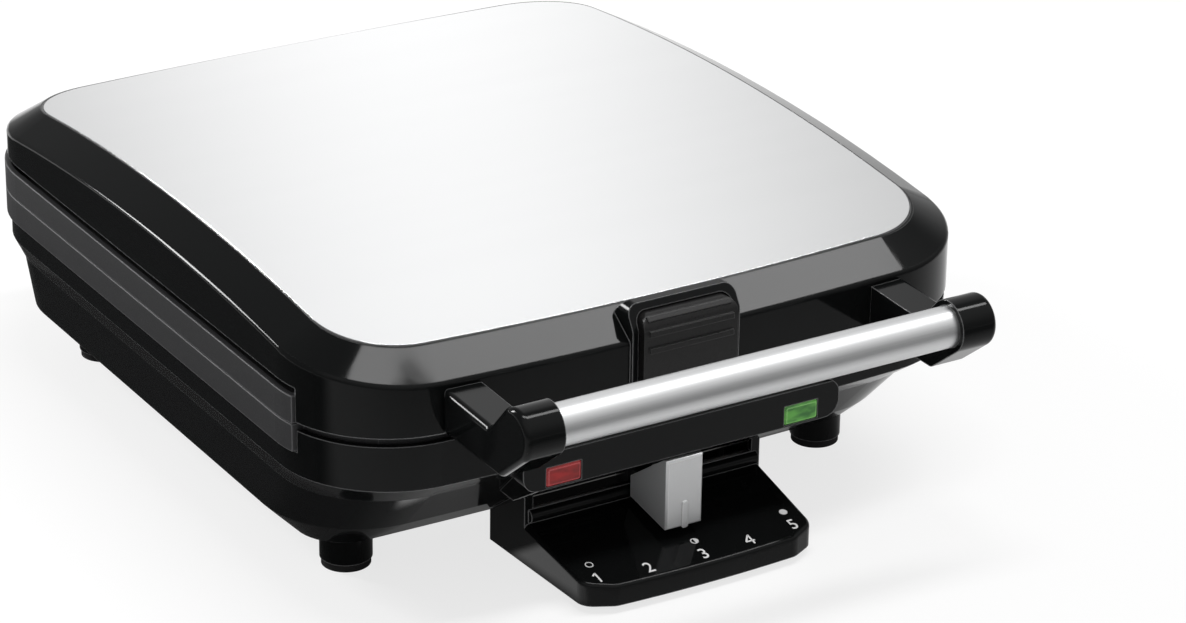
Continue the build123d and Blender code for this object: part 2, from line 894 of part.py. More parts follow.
# Feet, each with a rubber pad
for y, end in ((body_front + foot_front, "front"), (body_back - foot_back, "rear")):
    for x, side in ((-foot_x, "left"), (foot_x, "right")):
        with BuildPart() as foot:
            with BuildSketch(Plane.XY.offset(pad_height)):
                with Locations((x, y)):
                    Circle(foot_radius)
            extrude(amount=foot_height - pad_height)
            with BuildSketch(Plane.XY.offset(pad_height)):
                with Locations((x, y)):
                    Circle(pad_spigot + running_clearance)
            extrude(amount=pad_spigot, mode=Mode.SUBTRACT)
        save(foot.part, f"foot_{end}_{side}")
        with BuildPart() as pad:
            with BuildSketch():
                with Locations((x, y)):
                    Circle(pad_radius)
            extrude(amount=pad_height)
            with BuildSketch(Plane.XY.offset(pad_height)):
                with Locations((x, y)):
                    Circle(pad_spigot)
            extrude(amount=pad_spigot - seam)
        save(pad.part, f"foot_pad_{end}_{side}")


# Outer form of the shelf and riser, or with an inset, the hollow inside it
def shelf_block(inset):
    rear = body_front + shelf_rear
    nose_y = shelf_front + shelf_nose_back + inset
    corner_y = shelf_front + shelf_corner_back + inset
    nose_x = shelf_nose_width / 2 - inset / 2
    corner_x = shelf_front_width / 2 - inset
    rear_x = shelf_width / 2 - inset
    slope = (shelf_root - shelf_lip) / (riser_y - shelf_front)
    with BuildPart() as block:
        with BuildSketch(Plane.XY.offset(shelf_bottom)) as shelf_plan:
            with BuildLine():
                ThreePointArc((nose_x, nose_y), (0, shelf_front + inset), (-nose_x, nose_y))
                Polyline(
                    (-nose_x, nose_y),
                    (-corner_x, corner_y),
                    (-rear_x, rear),
                    (rear_x, rear),
                    (corner_x, corner_y),
                    (nose_x, nose_y),
                )
            make_face()
            fillet(shelf_plan.vertices().sort_by(Axis.Y)[:4], shelf_corner_round - inset)
        extrude(amount=underside_height - shelf_bottom - inset)
        with BuildSketch(Plane.YZ):
            with BuildLine():
                Polyline(
                    (shelf_front - overshoot, shelf_bottom - margin),
                    (shelf_front - overshoot, shelf_lip - overshoot * slope - inset),
                    (riser_y + inset, shelf_root - inset + inset * slope),
                    (riser_y + inset, underside_height),
                    (rear + margin, underside_height),
                    (rear + margin, shelf_bottom - margin),
                    close=True,
                )
            make_face()
        extrude(amount=shelf_width, both=True, mode=Mode.INTERSECT)
    return block.part


# Side outlines of the fascia bar and of the underside that slopes back from it
with BuildSketch() as fascia_side:
    with BuildLine():
        Polyline(
            (fascia_front, fascia_bottom),
            (fascia_front, fascia_top - fascia_edge),
            (fascia_front + fascia_edge, fascia_top),
            (body_front + waist_front, fascia_top),
            (body_front + waist_front, fascia_bottom),
            close=True,
        )
    make_face()
with BuildSketch(Plane.YZ) as underside_side:
    with BuildLine():
        Polyline(
            (fascia_front, fascia_bottom),
            (body_front + waist_front, fascia_bottom),
            (body_front + waist_front + flank_front, underside_height),
            (fascia_front + underside_back, underside_height),
            close=True,
        )
    make_face()

# Control housing: fascia with two lamp windows, riser with the slider's slot, and shelf
with BuildPart() as control_housing:
    add(shelf_block(0))
    top_face = control_housing.faces().filter_by(lambda face: face.normal_at().Z > 0.9).sort_by(Axis.Y)[0]
    fillet(top_face.edges().filter_by(lambda edge: edge.center().Y < riser_y - 1), shelf_round)
    with Locations(
        (0, riser_y, slot_low - seam - moulding_radius),
        (0, riser_y, slot_high + moulding_radius),
    ):
        Cylinder(moulding_radius, shelf_front_width, rotation=(0, 90, 0))
    add(shelf_block(control_wall), mode=Mode.SUBTRACT)
    add(crossed_block(fascia_side.sketch, fascia_width, fascia_bottom, fascia_top, fascia_round))
    extrude(underside_side.sketch, amount=fascia_width / 2 - fascia_round, both=True)
    with BuildSketch(Plane.XZ.offset(-fascia_front)):
        with Locations((-lamp_spread / 2, lamp_height), (lamp_spread / 2, lamp_height)):
            Rectangle(lens_width + lens_gap, lens_height + lens_gap)
    extrude(amount=-floor_front, mode=Mode.SUBTRACT)
    # Slot for the slider's stem
    slot_length = 2 * travel + stem_width + 2 * slot_end
    with BuildSketch(Plane.XZ.offset(-riser_y)):
        with Locations((0, (slot_low + slot_high) / 2)):
            Rectangle(slot_length, slot_high - slot_low)
    extrude(amount=overshoot, both=True, mode=Mode.SUBTRACT)
    add(tub_block(-seam, 0, base_top), mode=Mode.SUBTRACT)
save(control_housing.part, "control_housing")

# Lenses, and a neon lamp behind each
for x, colour in ((-lamp_spread / 2, "red"), (lamp_spread / 2, "green")):
    with BuildPart() as lens:
        with BuildSketch(Plane.XZ.offset(lens_proud - fascia_front)):
            with Locations((x, lamp_height)):
                RectangleRounded(lens_width, lens_height, lens_corner)
        extrude(amount=-lens_depth)
        chamfer(lens.faces().sort_by(Axis.Y)[0].edges(), lens_bevel)
    save(lens.part, f"{colour}_lens")
    with BuildPart() as neon:
        with Locations((x, fascia_front - lens_proud + lens_depth + neon_radius + seam, lamp_height)):
            Cylinder(neon_radius, neon_length, rotation=(0, 90, 0))
    save(neon.part, f"{colour}_neon_lamp")

# Temperature knob: a wedge with an upright front face and a pointer rib
knob_front = body_front - knob_lead
knob_tail = riser_y - moulding_radius - knob_gap
with BuildPart() as slider_knob:
    with BuildSketch(Plane.YZ.offset(-knob_width / 2)):
        with BuildLine():
            Polyline(
                (knob_front, knob_low),
                (knob_front, knob_high),
                (knob_front + knob_plate, knob_high),
                (knob_tail, knob_tail_high),
                (knob_tail, knob_tail_low),
                close=True,
            )
        make_face()
    extrude(amount=knob_width)
    chamfer(slider_knob.faces().sort_by(Axis.Y)[0].edges(), knob_bevel)
    with BuildSketch(Plane.XZ.offset(-knob_front)):
        with Locations((0, knob_low + pointer_height / 2)):
            RectangleRounded(pointer_width, pointer_height, knob_bevel)
    extrude(amount=pointer_proud)
    with BuildSketch(Plane.XZ.offset(-knob_tail)):
        with Locations((0, (stem_low + stem_high) / 2)):
            Rectangle(stem_width + 2 * running_clearance, stem_high - stem_low + 2 * running_clearance)
    extrude(amount=stem_reach + running_clearance, mode=Mode.SUBTRACT)
save(slider_knob.part, "slider_knob")

# Carriage: stem, block on the rail, arm and rack
gear_pitch = math.pi * gear_module
tooth_half = (gear_pitch - backlash) / 4
flank_slope = math.tan(math.radians(pressure_angle))
dedendum = root_depth * gear_module
rack_root = rack_line - dedendum
rack_half = travel + rack_spare * gear_pitch
with BuildPart() as slider_carriage:
    with BuildSketch(Plane.XY.offset(stem_low)):
        with Locations((0, (knob_tail - stem_reach + rail_y) / 2)):
            Rectangle(stem_width, rail_y - knob_tail + stem_reach)
    extrude(amount=stem_high - stem_low)
    with BuildSketch(Plane.XY.offset(carriage_low)):
        with Locations((0, rail_y)):
            Rectangle(carriage_width, carriage_depth)
    extrude(amount=carriage_high - carriage_low)
    with BuildSketch(Plane.XY.offset(gear_low)):
        with Locations((0, (rail_y + rack_root) / 2)):
            Rectangle(carriage_width, rack_root - rail_y)
        with Locations((0, rack_root - rack_back / 2)):
            Rectangle(2 * rack_half, rack_back)
        for tooth in range(-int(rack_half / gear_pitch), int(rack_half / gear_pitch) + 1):
            root_half = tooth_half + dedendum * flank_slope
            tip_half = tooth_half - gear_module * flank_slope
            with Locations((tooth * gear_pitch, 0)):
                Polygon(
                    (-root_half, rack_root),
                    (root_half, rack_root),
                    (tip_half, rack_line + gear_module),
                    (-tip_half, rack_line + gear_module),
                    align=None,
                )
    extrude(amount=gear_thickness)
    with Locations((0, rail_y, rail_height)):
        Cylinder(
            rail_radius + running_clearance,
            2 * carriage_width,
            rotation=(0, 90, 0),
            mode=Mode.SUBTRACT,
        )
save(slider_carriage.part, "slider_carriage")

with BuildPart() as slider_rail:
    with Locations((0, rail_y, rail_height)):
        Cylinder(rail_radius, 2 * rail_half, rotation=(0, 90, 0))
save(slider_rail.part, "slider_rail")


# Half of a tooth's angle at a radius, for teeth cut to the involute
def tooth_angle(radius):
    base_radius = pinion_radius * math.cos(math.radians(pressure_angle))
    angle = math.acos(min(1, base_radius / radius))
    reference = math.radians(pressure_angle)
    return tooth_half / pinion_radius + (math.tan(reference) - reference) - (math.tan(angle) - angle)


# Pinion with a gap facing the rack's middle tooth
def pinion_outline():
    root = pinion_radius - dedendum
    tip = pinion_radius + gear_module
    steps = [root, pinion_radius * math.cos(math.radians(pressure_angle)), pinion_radius, tip]
    points = []
    for tooth in range(pinion_teeth):
        centre = -math.pi / 2 + (tooth + 0.5) * 2 * math.pi / pinion_teeth
        for radius in steps:
            angle = centre - tooth_angle(radius)
            points.append((radius * math.cos(angle), radius * math.sin(angle)))
        for radius in reversed(steps):
            angle = centre + tooth_angle(radius)
            points.append((radius * math.cos(angle), radius * math.sin(angle)))
    return points


with BuildPart() as thermostat_pinion:
    with BuildSketch(Plane((0, pinion_y, gear_low))):
        with BuildLine():
            Polyline(*pinion_outline(), close=True)
        make_face()
        Circle(spindle_radius + pin_seat, mode=Mode.SUBTRACT)
    extrude(amount=gear_thickness)
save(thermostat_pinion.part, "thermostat_pinion")

thermostat_top = reflector_height - reflector_sheet - seam
thermostat_bottom = thermostat_top - thermostat_height
spindle_bottom = bottom_height + floor_thickness + seam
with BuildPart() as thermostat_spindle:
    with BuildSketch(Plane((0, pinion_y, spindle_bottom))):
        Circle(spindle_radius)
    extrude(amount=thermostat_top - wall - spindle_bottom)
save(thermostat_spindle.part, "thermostat_spindle")

with BuildPart() as thermostat:
    with BuildSketch(Plane((0, pinion_y, thermostat_bottom))):
        Circle(thermostat_radius)
    extrude(amount=thermostat_height)
    with BuildSketch(Plane((0, pinion_y, thermostat_bottom))):
        Circle(spindle_radius + running_clearance)
    extrude(amount=thermostat_height - wall + seam, mode=Mode.SUBTRACT)
save(thermostat.part, "thermostat")

# Cord inlet bush, thermal fuse and terminal block
with BuildPart() as cord_bush:
    with BuildSketch(Plane.XZ.offset(-boss_face_y)):
        with Locations((bush_x, bush_height)):
            Circle(bush_flange)
    extrude(amount=-bush_flange_length)
    with BuildSketch(Plane.XZ.offset(-boss_face_y)):
        with Locations((bush_x, bush_height)):
            Circle(bush_sleeve)
    extrude(amount=-bush_sleeve_length)
    with BuildSketch(Plane.XZ.offset(-boss_face_y)):
        with Locations((bush_x, bush_height)):
            Circle(bush_radius)
    extrude(amount=bush_boss + bush_behind)
    # The bore grips the cord outside the housing and widens at the housing
    with BuildSketch(Plane.XZ.offset(-boss_face_y)):
        with Locations((bush_x, bush_height)):
            Circle(bush_bore)
    extrude(amount=-bush_sleeve_length, mode=Mode.SUBTRACT)
    with BuildSketch(Plane.XZ.offset(-boss_face_y - bush_step)):
        with Locations((bush_x, bush_height)):
            Circle(bush_mouth)
    extrude(amount=bush_step + bush_boss + bush_behind, mode=Mode.SUBTRACT)
save(cord_bush.part, "cord_bush")

with BuildPart() as terminal_block:
    with Locations((bush_x, body_back - floor_back - terminal_inset, bottom_height + floor_thickness + seam)):
        Box(terminal_width, terminal_length, terminal_height, align=(Align.CENTER, Align.CENTER, Align.MIN))
save(terminal_block.part, "terminal_block")

with BuildPart() as thermal_fuse:
    with Locations((fuse_x, body_middle + fuse_back, thermostat_top - fuse_radius)):
        Cylinder(fuse_radius, fuse_length, rotation=(0, 90, 0))
save(thermal_fuse.part, "thermal_fuse")

# Screws under the reflectors and through the posts
with BuildPart() as reflector_screws:
    for x in (-spacer_x, spacer_x):
        for y in (body_middle - spacer_y, body_middle + spacer_y):
            add(screw((x, y, reflector_height - reflector_sheet), (0, 0, -1), spacer_screw))
save(reflector_screws.part, "lower_reflector_screws")
with BuildPart() as upper_screws:
    add(mirror(reflector_screws.part, about=Plane.XY.offset(parting_height), mode=Mode.PRIVATE))
save(upper_screws.part, "upper_reflector_screws")

with BuildPart() as plate_screws:
    for x, y in post_places:
        add(screw((x, y, shoulder_height), (0, 0, -1), post_top + plate_screw - shoulder_height))
save(plate_screws.part, "lower_plate_screws")
with BuildPart() as lid_plate_screws:
    for x, y in post_places:
        add(screw((x, y, lid_foot_top), (0, 0, 1), lid_foot_top - lid_post_bottom + plate_screw))
save(lid_plate_screws.part, "upper_plate_screws")

# Latch rocker: a face that rolls over at the top, with a bar and two ribs to press
pin_y = body_front + latch_pin_depth
rocker_y = body_front - rocker_front
hook_front = rocker_y + hook_skin
ear_places = (-ear_spread / 2, ear_spread / 2)
with BuildSketch() as rocker_side:
    with BuildLine():
        Polyline(
            (rocker_y, rocker_bottom),
            (rocker_y, rocker_top),
            (body_front + rocker_back, rocker_top),
            (body_front + rocker_back, rocker_top - rocker_sheet),
            (rocker_y + rocker_sheet, rocker_top - 2 * rocker_sheet),
            (rocker_y + rocker_sheet, rocker_bottom),
            close=True,
        )
    make_face()
    fillet(rocker_side.vertices().group_by(Axis.X)[0].sort_by(Axis.Y)[-1], rocker_nose)
with BuildPart() as latch_rocker:
    add(crossed_block(rocker_side.sketch, rocker_width, 0, rocker_top, rocker_corner))
    for height in (rocker_top - rib_drop, rocker_top - rib_drop - rib_pitch):
        with Locations((0, rocker_y, height)):
            Box(rib_width, 2 * rib_depth, rib_height)
    bar_y = rocker_y + rocker_nose * (1 - math.cos(math.radians(bar_angle)))
    bar_z = rocker_top - rocker_nose * (1 - math.sin(math.radians(bar_angle)))
    with Locations(Location((0, bar_y, bar_z), (-bar_angle, 0, 0))):
        Box(rib_width, 2 * rib_depth, rib_height)
    # Slot that the hook's plate is pressed into
    with BuildSketch(Plane.XY.offset(rocker_bottom)):
        with Locations((0, hook_front + hook_sheet / 2)):
            Rectangle(hook_width + 2 * pin_seat, hook_sheet + 2 * pin_seat)
    extrude(amount=hook_seat + pin_seat, mode=Mode.SUBTRACT)
    for x in ear_places:
        with BuildSketch(Plane.YZ.offset(x - ear_width / 2)):
            with Locations((pin_y, latch_pin_height)):
                Circle(ear_radius)
            with Locations(((rocker_y + pin_y) / 2, latch_pin_height)):
                Rectangle(pin_y - rocker_y, 2 * ear_radius)
            with Locations((pin_y, latch_pin_height)):
                Circle(latch_pin_radius + running_clearance, mode=Mode.SUBTRACT)
        extrude(amount=ear_width)
save(latch_rocker.part, "latch_rocker")

# Steel hook: a plate, and a bar across the back of its foot
with BuildPart() as latch_hook:
    with Locations((0, hook_front + hook_sheet / 2, hook_bottom)):
        Box(
            hook_width,
            hook_sheet,
            rocker_bottom + hook_seat - hook_bottom,
            align=(Align.CENTER, Align.CENTER, Align.MIN),
        )
    with BuildSketch(Plane.YZ.offset(-hook_width / 2)):
        with BuildLine():
            Polyline(
                (hook_front + hook_sheet + pin_seat, keeper_low - hook_drop - hook_nose),
                (base_front - hook_tip, keeper_low - hook_drop - hook_tip_height),
                (base_front - hook_tip, keeper_low - hook_drop),
                (hook_front + hook_sheet + pin_seat, keeper_low - hook_drop),
                close=True,
            )
        make_face()
    extrude(amount=hook_width)
save(latch_hook.part, "latch_hook")

with BuildPart() as latch_pin:
    with Locations((0, pin_y, latch_pin_height)):
        Cylinder(latch_pin_radius, surround_width - pocket_wall, rotation=(0, 90, 0))
save(latch_pin.part, "latch_pin")

with BuildPart() as latch_spring:
    spring_y = body_front + pocket_depth - spring_sheet / 2 - running_clearance
    with Locations((0, spring_y, latch_pin_height - spring_drop)):
        Box(spring_width, spring_sheet, spring_length)
save(latch_spring.part, "latch_spring")

# Handle arms: a bar from the lid's front that turns up into a round cap
cap_centre = Vector(handle_y, handle_height)
elbow = Vector(handle_y + elbow_back, arm_bottom)
collar = Vector(handle_y + collar_back, arm_top - arm_dip)


# Where a line from a point touches the round cap: 1 passes below it, -1 above it
def cap_touch(point, side):
    to_cap = cap_centre - point
    lean = math.atan2(to_cap.Y, to_cap.X) + side * math.asin(cap_radius / to_cap.length)
    reach = math.sqrt(to_cap.length**2 - cap_radius**2)
    return point + Vector(reach * math.cos(lean), reach * math.sin(lean))


with BuildSketch() as arm_outline:
    with BuildLine():
        Polyline(
            (body_front + wall, arm_bottom),
            elbow,
            cap_touch(elbow, 1),
            cap_centre,
            cap_touch(collar, -1),
            collar,
            (body_front + wall, arm_top),
            close=True,
        )
    make_face()
    for corner in (elbow, collar):
        fillet(arm_outline.vertices().sort_by_distance(corner)[0], elbow_round)
    with Locations((handle_y, handle_height)):
        Circle(cap_radius)
for side, name in ((-1, "handle_arm_left"), (1, "handle_arm_right")):
    with BuildPart() as handle_arm:
        with BuildSketch(Plane.YZ.offset(side * tube_visible / 2)):
            add(arm_outline.sketch)
        extrude(amount=side * cap_length)
        outer_face = handle_arm.faces().sort_by(Axis.X)[-1 if side > 0 else 0]
        fillet(outer_face.edges(), cap_round)
        with BuildSketch(Plane.XY.offset(arm_bottom - margin)):
            add(body_plan(-pin_seat))
        extrude(amount=lid_top - arm_bottom, mode=Mode.SUBTRACT)
        # Seat of the tube, then of the tie rod and its nut
        for radius, depth in (
            (tube_radius + running_clearance, tube_seat + running_clearance),
            (tie_rod_radius + running_clearance, tie_rod_reach + running_clearance),
        ):
            with BuildSketch(Plane.YZ.offset(side * tube_visible / 2)):
                with Locations((handle_y, handle_height)):
                    Circle(radius)
            extrude(amount=side * depth, mode=Mode.SUBTRACT)
        for x in handle_screw_places:
            with Locations((x, body_front, handle_screw_height)):
                Cylinder(screw_radius + pin_seat, 2 * handle_screw, rotation=(90, 0, 0), mode=Mode.SUBTRACT)
    save(handle_arm.part, name)

with BuildPart() as handle_tube:
    with BuildSketch(Plane.YZ):
        with Locations((handle_y, handle_height)):
            Circle(tube_radius)
            Circle(tube_radius - tube_wall, mode=Mode.SUBTRACT)
    extrude(amount=tube_visible / 2 + tube_seat, both=True)
save(handle_tube.part, "handle_tube")

with BuildPart() as handle_tie_rod:
    with BuildSketch(Plane.YZ):
        with Locations((handle_y, handle_height)):
            Circle(tie_rod_radius)
    extrude(amount=tube_visible / 2 + tie_rod_reach, both=True)
    for x in (-1, 1):
        with BuildSketch(Plane.YZ.offset(x * (tube_visible / 2 + tube_seat - tie_nut_length))):
            with Locations((handle_y, handle_height)):
                RegularPolygon(tie_nut_radius, 6)
        extrude(amount=x * tie_nut_length)
save(handle_tie_rod.part, "handle_tie_rod")

# Screws from inside the lid into the arms
wall_back = body_front + end_bow * (arm_middle / half_width) ** 2 + wall + screw_rest
with BuildPart() as handle_screws:
    for x in handle_screw_places:
        add(screw((x, wall_back, handle_screw_height), (0, 1, 0), handle_screw))
save(handle_screws.part, "handle_screws")
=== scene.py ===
import json
import math

import bmesh
import bpy
from mathutils import Matrix, Quaternion, Vector


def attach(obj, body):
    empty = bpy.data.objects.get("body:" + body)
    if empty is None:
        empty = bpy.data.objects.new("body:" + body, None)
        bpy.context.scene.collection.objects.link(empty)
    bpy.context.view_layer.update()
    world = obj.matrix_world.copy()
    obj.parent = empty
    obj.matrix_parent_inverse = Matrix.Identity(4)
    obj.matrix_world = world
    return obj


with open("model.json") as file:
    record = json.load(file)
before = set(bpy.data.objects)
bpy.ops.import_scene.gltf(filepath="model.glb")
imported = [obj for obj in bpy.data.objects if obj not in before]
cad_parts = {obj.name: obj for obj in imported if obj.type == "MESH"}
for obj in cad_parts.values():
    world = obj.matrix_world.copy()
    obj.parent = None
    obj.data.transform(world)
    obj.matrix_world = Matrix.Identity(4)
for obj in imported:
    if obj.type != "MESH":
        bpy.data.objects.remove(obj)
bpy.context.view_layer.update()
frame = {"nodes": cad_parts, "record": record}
nodes = frame["nodes"]
scene = bpy.context.scene
scene.view_settings.view_transform = "Standard"
print("frame loaded with", len(nodes), "pieces")


class Wire:  # an output socket that takes part in sums
    def __init__(self, finish, socket):
        self.finish = finish
        self.socket = socket

    def sum(self, operation, first, second=0.0):
        return self.finish.node("ShaderNodeMath", {"operation": operation}, {0: first, 1: second})

    def __add__(self, other):
        return self.sum("ADD", self, other)

    def __radd__(self, other):
        return self.sum("ADD", other, self)

    def __sub__(self, other):
        return self.sum("SUBTRACT", self, other)

    def __rsub__(self, other):
        return self.sum("SUBTRACT", other, self)

    def __mul__(self, other):
        return self.sum("MULTIPLY", self, other)

    def __rmul__(self, other):
        return self.sum("MULTIPLY", other, self)

    def size(self):
        return self.sum("ABSOLUTE", self)

    def step(self, low, high):  # rises smoothly from 0 at low to 1 at high
        settings = {"interpolation_type": "SMOOTHSTEP", "clamp": True}
        return self.finish.node("ShaderNodeMapRange", settings,
                                {"Value": self, "From Min": low, "From Max": high})


# How far a rounded normal leans from its face, where the painted edge highlight starts and where it is full
edgeLean = {"low": 0.012, "high": 0.07, "samples": 6}


class Finish:  # a material, and the one way that its nodes are made
    def __init__(self, name):
        self.material = bpy.data.materials.new(name)
        self.material.use_nodes = True
        self.tree = self.material.node_tree
        self.tree.nodes.clear()
        self.output = self.tree.nodes.new("ShaderNodeOutputMaterial")

    def node(self, kind, settings=None, inputs=None, output=0):
        made = self.tree.nodes.new(kind)
        for key, value in (settings or {}).items():
            setattr(made, key, value)
        for key, value in (inputs or {}).items():
            if isinstance(value, Wire):
                self.tree.links.new(value.socket, made.inputs[key])
            elif isinstance(value, tuple) and len(value) == 3 and made.inputs[key].type == "RGBA":
                made.inputs[key].default_value = (*value, 1)
            else:
                made.inputs[key].default_value = value
        return Wire(self, made.outputs[output])

    def place(self, stretch=(1, 1, 1)):  # Object coordinates, stretched
        spot = self.node("ShaderNodeTexCoord", output="Object")
        return self.node("ShaderNodeMapping", None, {"Vector": spot, "Scale": stretch})

    def along(self, vector, axis):  # one coordinate of a vector
        return self.node("ShaderNodeSeparateXYZ", None, {0: vector}, output=axis)

    def noise(self, vector, scale, detail=2.0, rough=0.5):
        return self.node("ShaderNodeTexNoise", None,
                         {"Vector": vector, "Scale": scale, "Detail": detail, "Roughness": rough})

    def mix(self, factor, first, second):
        return self.node("ShaderNodeMix", {"data_type": "RGBA"},
                         {0: factor, 6: first, 7: second}, output=2)

    def softEdge(self, radius):  # normals rounded over sharp edges
        return self.node("ShaderNodeBevel", {"samples": edgeLean["samples"]}, {"Radius": radius})

    def edgeWear(self, radius):  # 0 on flat faces, 1 along sharp edges: the mask of a painted edge highlight
        plain = self.node("ShaderNodeNewGeometry", output="Normal")
        alike = self.node("ShaderNodeVectorMath", {"operation": "DOT_PRODUCT"},
                          {0: self.softEdge(radius), 1: plain}, output="Value")
        return (1 - alike).step(edgeLean["low"], edgeLean["high"])

    def bump(self, height, strength, distance, radius=0.0):
        inputs = {"Height": height, "Strength": strength, "Distance": distance}
        if radius:
            inputs["Normal"] = self.softEdge(radius)
        return self.node("ShaderNodeBump", None, inputs)

    def surface(self, **inputs):
        named = {key.replace("_", " "): value for key, value in inputs.items()}
        return self.end("ShaderNodeBsdfPrincipled", named)

    def end(self, kind, inputs):  # the shader that reaches the output
        shader = self.node(kind, None, inputs)
        self.tree.links.new(shader.socket, self.output.inputs["Surface"])
        return self.material


# Gloss black mouldings with a trace of orange peel, haze and dust, and a painted highlight along sharp
# edges
gloss = {"deep": (0.0048, 0.0052, 0.0053), "dusty": (0.0062, 0.0064, 0.0066), "dustScale": 1700,
         "dustLow": 0.7, "dustHigh": 0.78, "edge": (0.26, 0.262, 0.265), "edgeShare": 0.8,
         "peelScale": 210, "peel": 0.006, "peelDepth": 0.0005, "hazeScale": 24, "hazeDetail": 3,
         "rough": 0.05, "roughHaze": 0.05, "shine": 0.13}


def glossBlack(name, edge):
    finish = Finish(name)
    spot = finish.place()
    peel = finish.noise(spot, gloss["peelScale"])
    haze = finish.noise(spot, gloss["hazeScale"], gloss["hazeDetail"])
    dust = finish.noise(spot, gloss["dustScale"], 1).step(gloss["dustLow"], gloss["dustHigh"])
    black = finish.mix(dust, gloss["deep"], gloss["dusty"])
    # Painted highlight: a pale grey laid along sharp edges in place of light caught by rounded edges
    tone = finish.mix(finish.edgeWear(edge) * gloss["edgeShare"], black, gloss["edge"])
    return finish.surface(Base_Color=tone, Roughness=gloss["rough"] + gloss["roughHaze"] * haze,
                          Specular_IOR_Level=gloss["shine"],
                          Normal=finish.bump(peel, gloss["peel"], gloss["peelDepth"], edge))


# Satin plastic of the latch, with a painted highlight along sharp edges
satin = {"dark": (0.006, 0.0057, 0.0058), "light": (0.0105, 0.01, 0.01), "edge": (0.05, 0.05, 0.05),
         "edgeShare": 0.7, "edgeRadius": 0.0005, "grainScale": 1700, "grain": 0.08,
         "grainDepth": 0.0002, "rough": 0.24, "roughGrain": 0.1, "shine": 0.3}


def satinGrey():
    finish = Finish("satinLatchPlastic")
    grain = finish.noise(finish.place(), satin["grainScale"])
    grey = finish.mix(grain, satin["dark"], satin["light"])
    # Painted highlight: a paler grey along sharp edges
    tone = finish.mix(finish.edgeWear(satin["edgeRadius"]) * satin["edgeShare"], grey, satin["edge"])
    return finish.surface(Base_Color=tone, Roughness=satin["rough"] + satin["roughGrain"] * grain,
                          Specular_IOR_Level=satin["shine"],
                          Normal=finish.bump(grain, satin["grain"], satin["grainDepth"],
                                             satin["edgeRadius"]))


# Steel cover, brushed from side to side in fine streaks over broad ones
cover = {"fine": (14, 1300, 1300), "fineDetail": 3, "fineRough": 0.65, "fineShare": 0.6,
         "broad": (2.5, 60, 60), "broadShare": 0.4, "dark": (0.765, 0.77, 0.775),
         "light": (0.82, 0.824, 0.828), "rough": 0.13, "roughStreaks": 0.05, "depth": 0.03,
         "depthScale": 0.0002, "edgeRadius": 0.0004}


def brushedCover():
    finish = Finish("brushedCoverSteel")
    streaks = finish.noise(finish.place(cover["fine"]), 1, cover["fineDetail"], cover["fineRough"])
    broad = finish.noise(finish.place(cover["broad"]), 1)
    tone = finish.mix(streaks * cover["fineShare"] + broad * cover["broadShare"],
                      cover["dark"], cover["light"])
    return finish.surface(Base_Color=tone, Metallic=1.0,
                          Roughness=cover["rough"] + cover["roughStreaks"] * streaks,
                          Normal=finish.bump(streaks, cover["depth"], cover["depthScale"],
                                             cover["edgeRadius"]))


# Aluminium handle tube, brushed along its length
tube = {"streaks": (12, 1900, 1900), "detail": 3, "streakRough": 0.7, "dark": (0.6, 0.605, 0.61),
        "light": (0.72, 0.725, 0.73), "rough": 0.34, "roughStreaks": 0.08, "depth": 0.1,
        "depthScale": 0.0002}


def brushedTube():
    finish = Finish("brushedTubeAluminium")
    streaks = finish.noise(finish.place(tube["streaks"]), 1, tube["detail"], tube["streakRough"])
    tone = finish.mix(streaks, tube["dark"], tube["light"])
    return finish.surface(Base_Color=tone, Metallic=1.0,
                          Roughness=tube["rough"] + tube["roughStreaks"] * streaks,
                          Normal=finish.bump(streaks, tube["depth"], tube["depthScale"]))


# Matt non-stick coating of the cooking plates, with a painted highlight along sharp edges
coating = {"dark": (0.018, 0.018, 0.019), "light": (0.034, 0.034, 0.036), "gritScale": 1900,
           "gritDetail": 3, "gritRough": 0.6, "fleck": (0.075, 0.075, 0.078), "fleckScale": 3300,
           "fleckLow": 0.66, "fleckHigh": 0.72, "edge": (0.16, 0.16, 0.165), "edgeShare": 0.8,
           "edgeRadius": 0.0009, "rough": 0.4, "roughGrit": 0.16, "shine": 0.4, "grit": 0.2,
           "gritDepth": 0.0003}


def castCoating():
    finish = Finish("castPlateCoating")
    spot = finish.place()
    grit = finish.noise(spot, coating["gritScale"], coating["gritDetail"], coating["gritRough"])
    fleck = finish.noise(spot, coating["fleckScale"], 1).step(coating["fleckLow"], coating["fleckHigh"])
    dark = finish.mix(grit, coating["dark"], coating["light"])
    speckled = finish.mix(fleck, dark, coating["fleck"])
    # Painted highlight: a pale grey along the sharp edges of the plates' rims
    edgeHighlight = finish.edgeWear(coating["edgeRadius"]) * coating["edgeShare"]
    tone = finish.mix(edgeHighlight, speckled, coating["edge"])
    return finish.surface(Base_Color=tone, Roughness=coating["rough"] + coating["roughGrit"] * grit,
                          Specular_IOR_Level=coating["shine"],
                          Normal=finish.bump(grit, coating["grit"], coating["gritDepth"],
                                             coating["edgeRadius"]))


# Metals and plastics that hardly show, clouded or grained a little
plainMetals = {"cloudScale": 70, "cloudDetail": 3, "darkest": 0.86, "smoother": 0.04,
               "roughCloud": 0.1, "edgeRadius": 0.0003}
plainPlastics = {"grainScale": 900, "darkest": 0.85, "lightest": 1.1, "smoother": 0.03,
                 "roughGrain": 0.06, "grain": 0.06, "grainDepth": 0.0003, "edgeRadius": 0.0004}


def shaded(colour, share):
    return tuple(share * part for part in colour)


def plainMetal(name, shade, rough):
    finish = Finish(name)
    cloud = finish.noise(finish.place(), plainMetals["cloudScale"], plainMetals["cloudDetail"])
    tone = finish.mix(cloud, shaded(shade, plainMetals["darkest"]), shade)
    roughness = rough - plainMetals["smoother"] + plainMetals["roughCloud"] * cloud
    return finish.surface(Base_Color=tone, Metallic=1.0, Roughness=roughness,
                          Normal=finish.softEdge(plainMetals["edgeRadius"]))


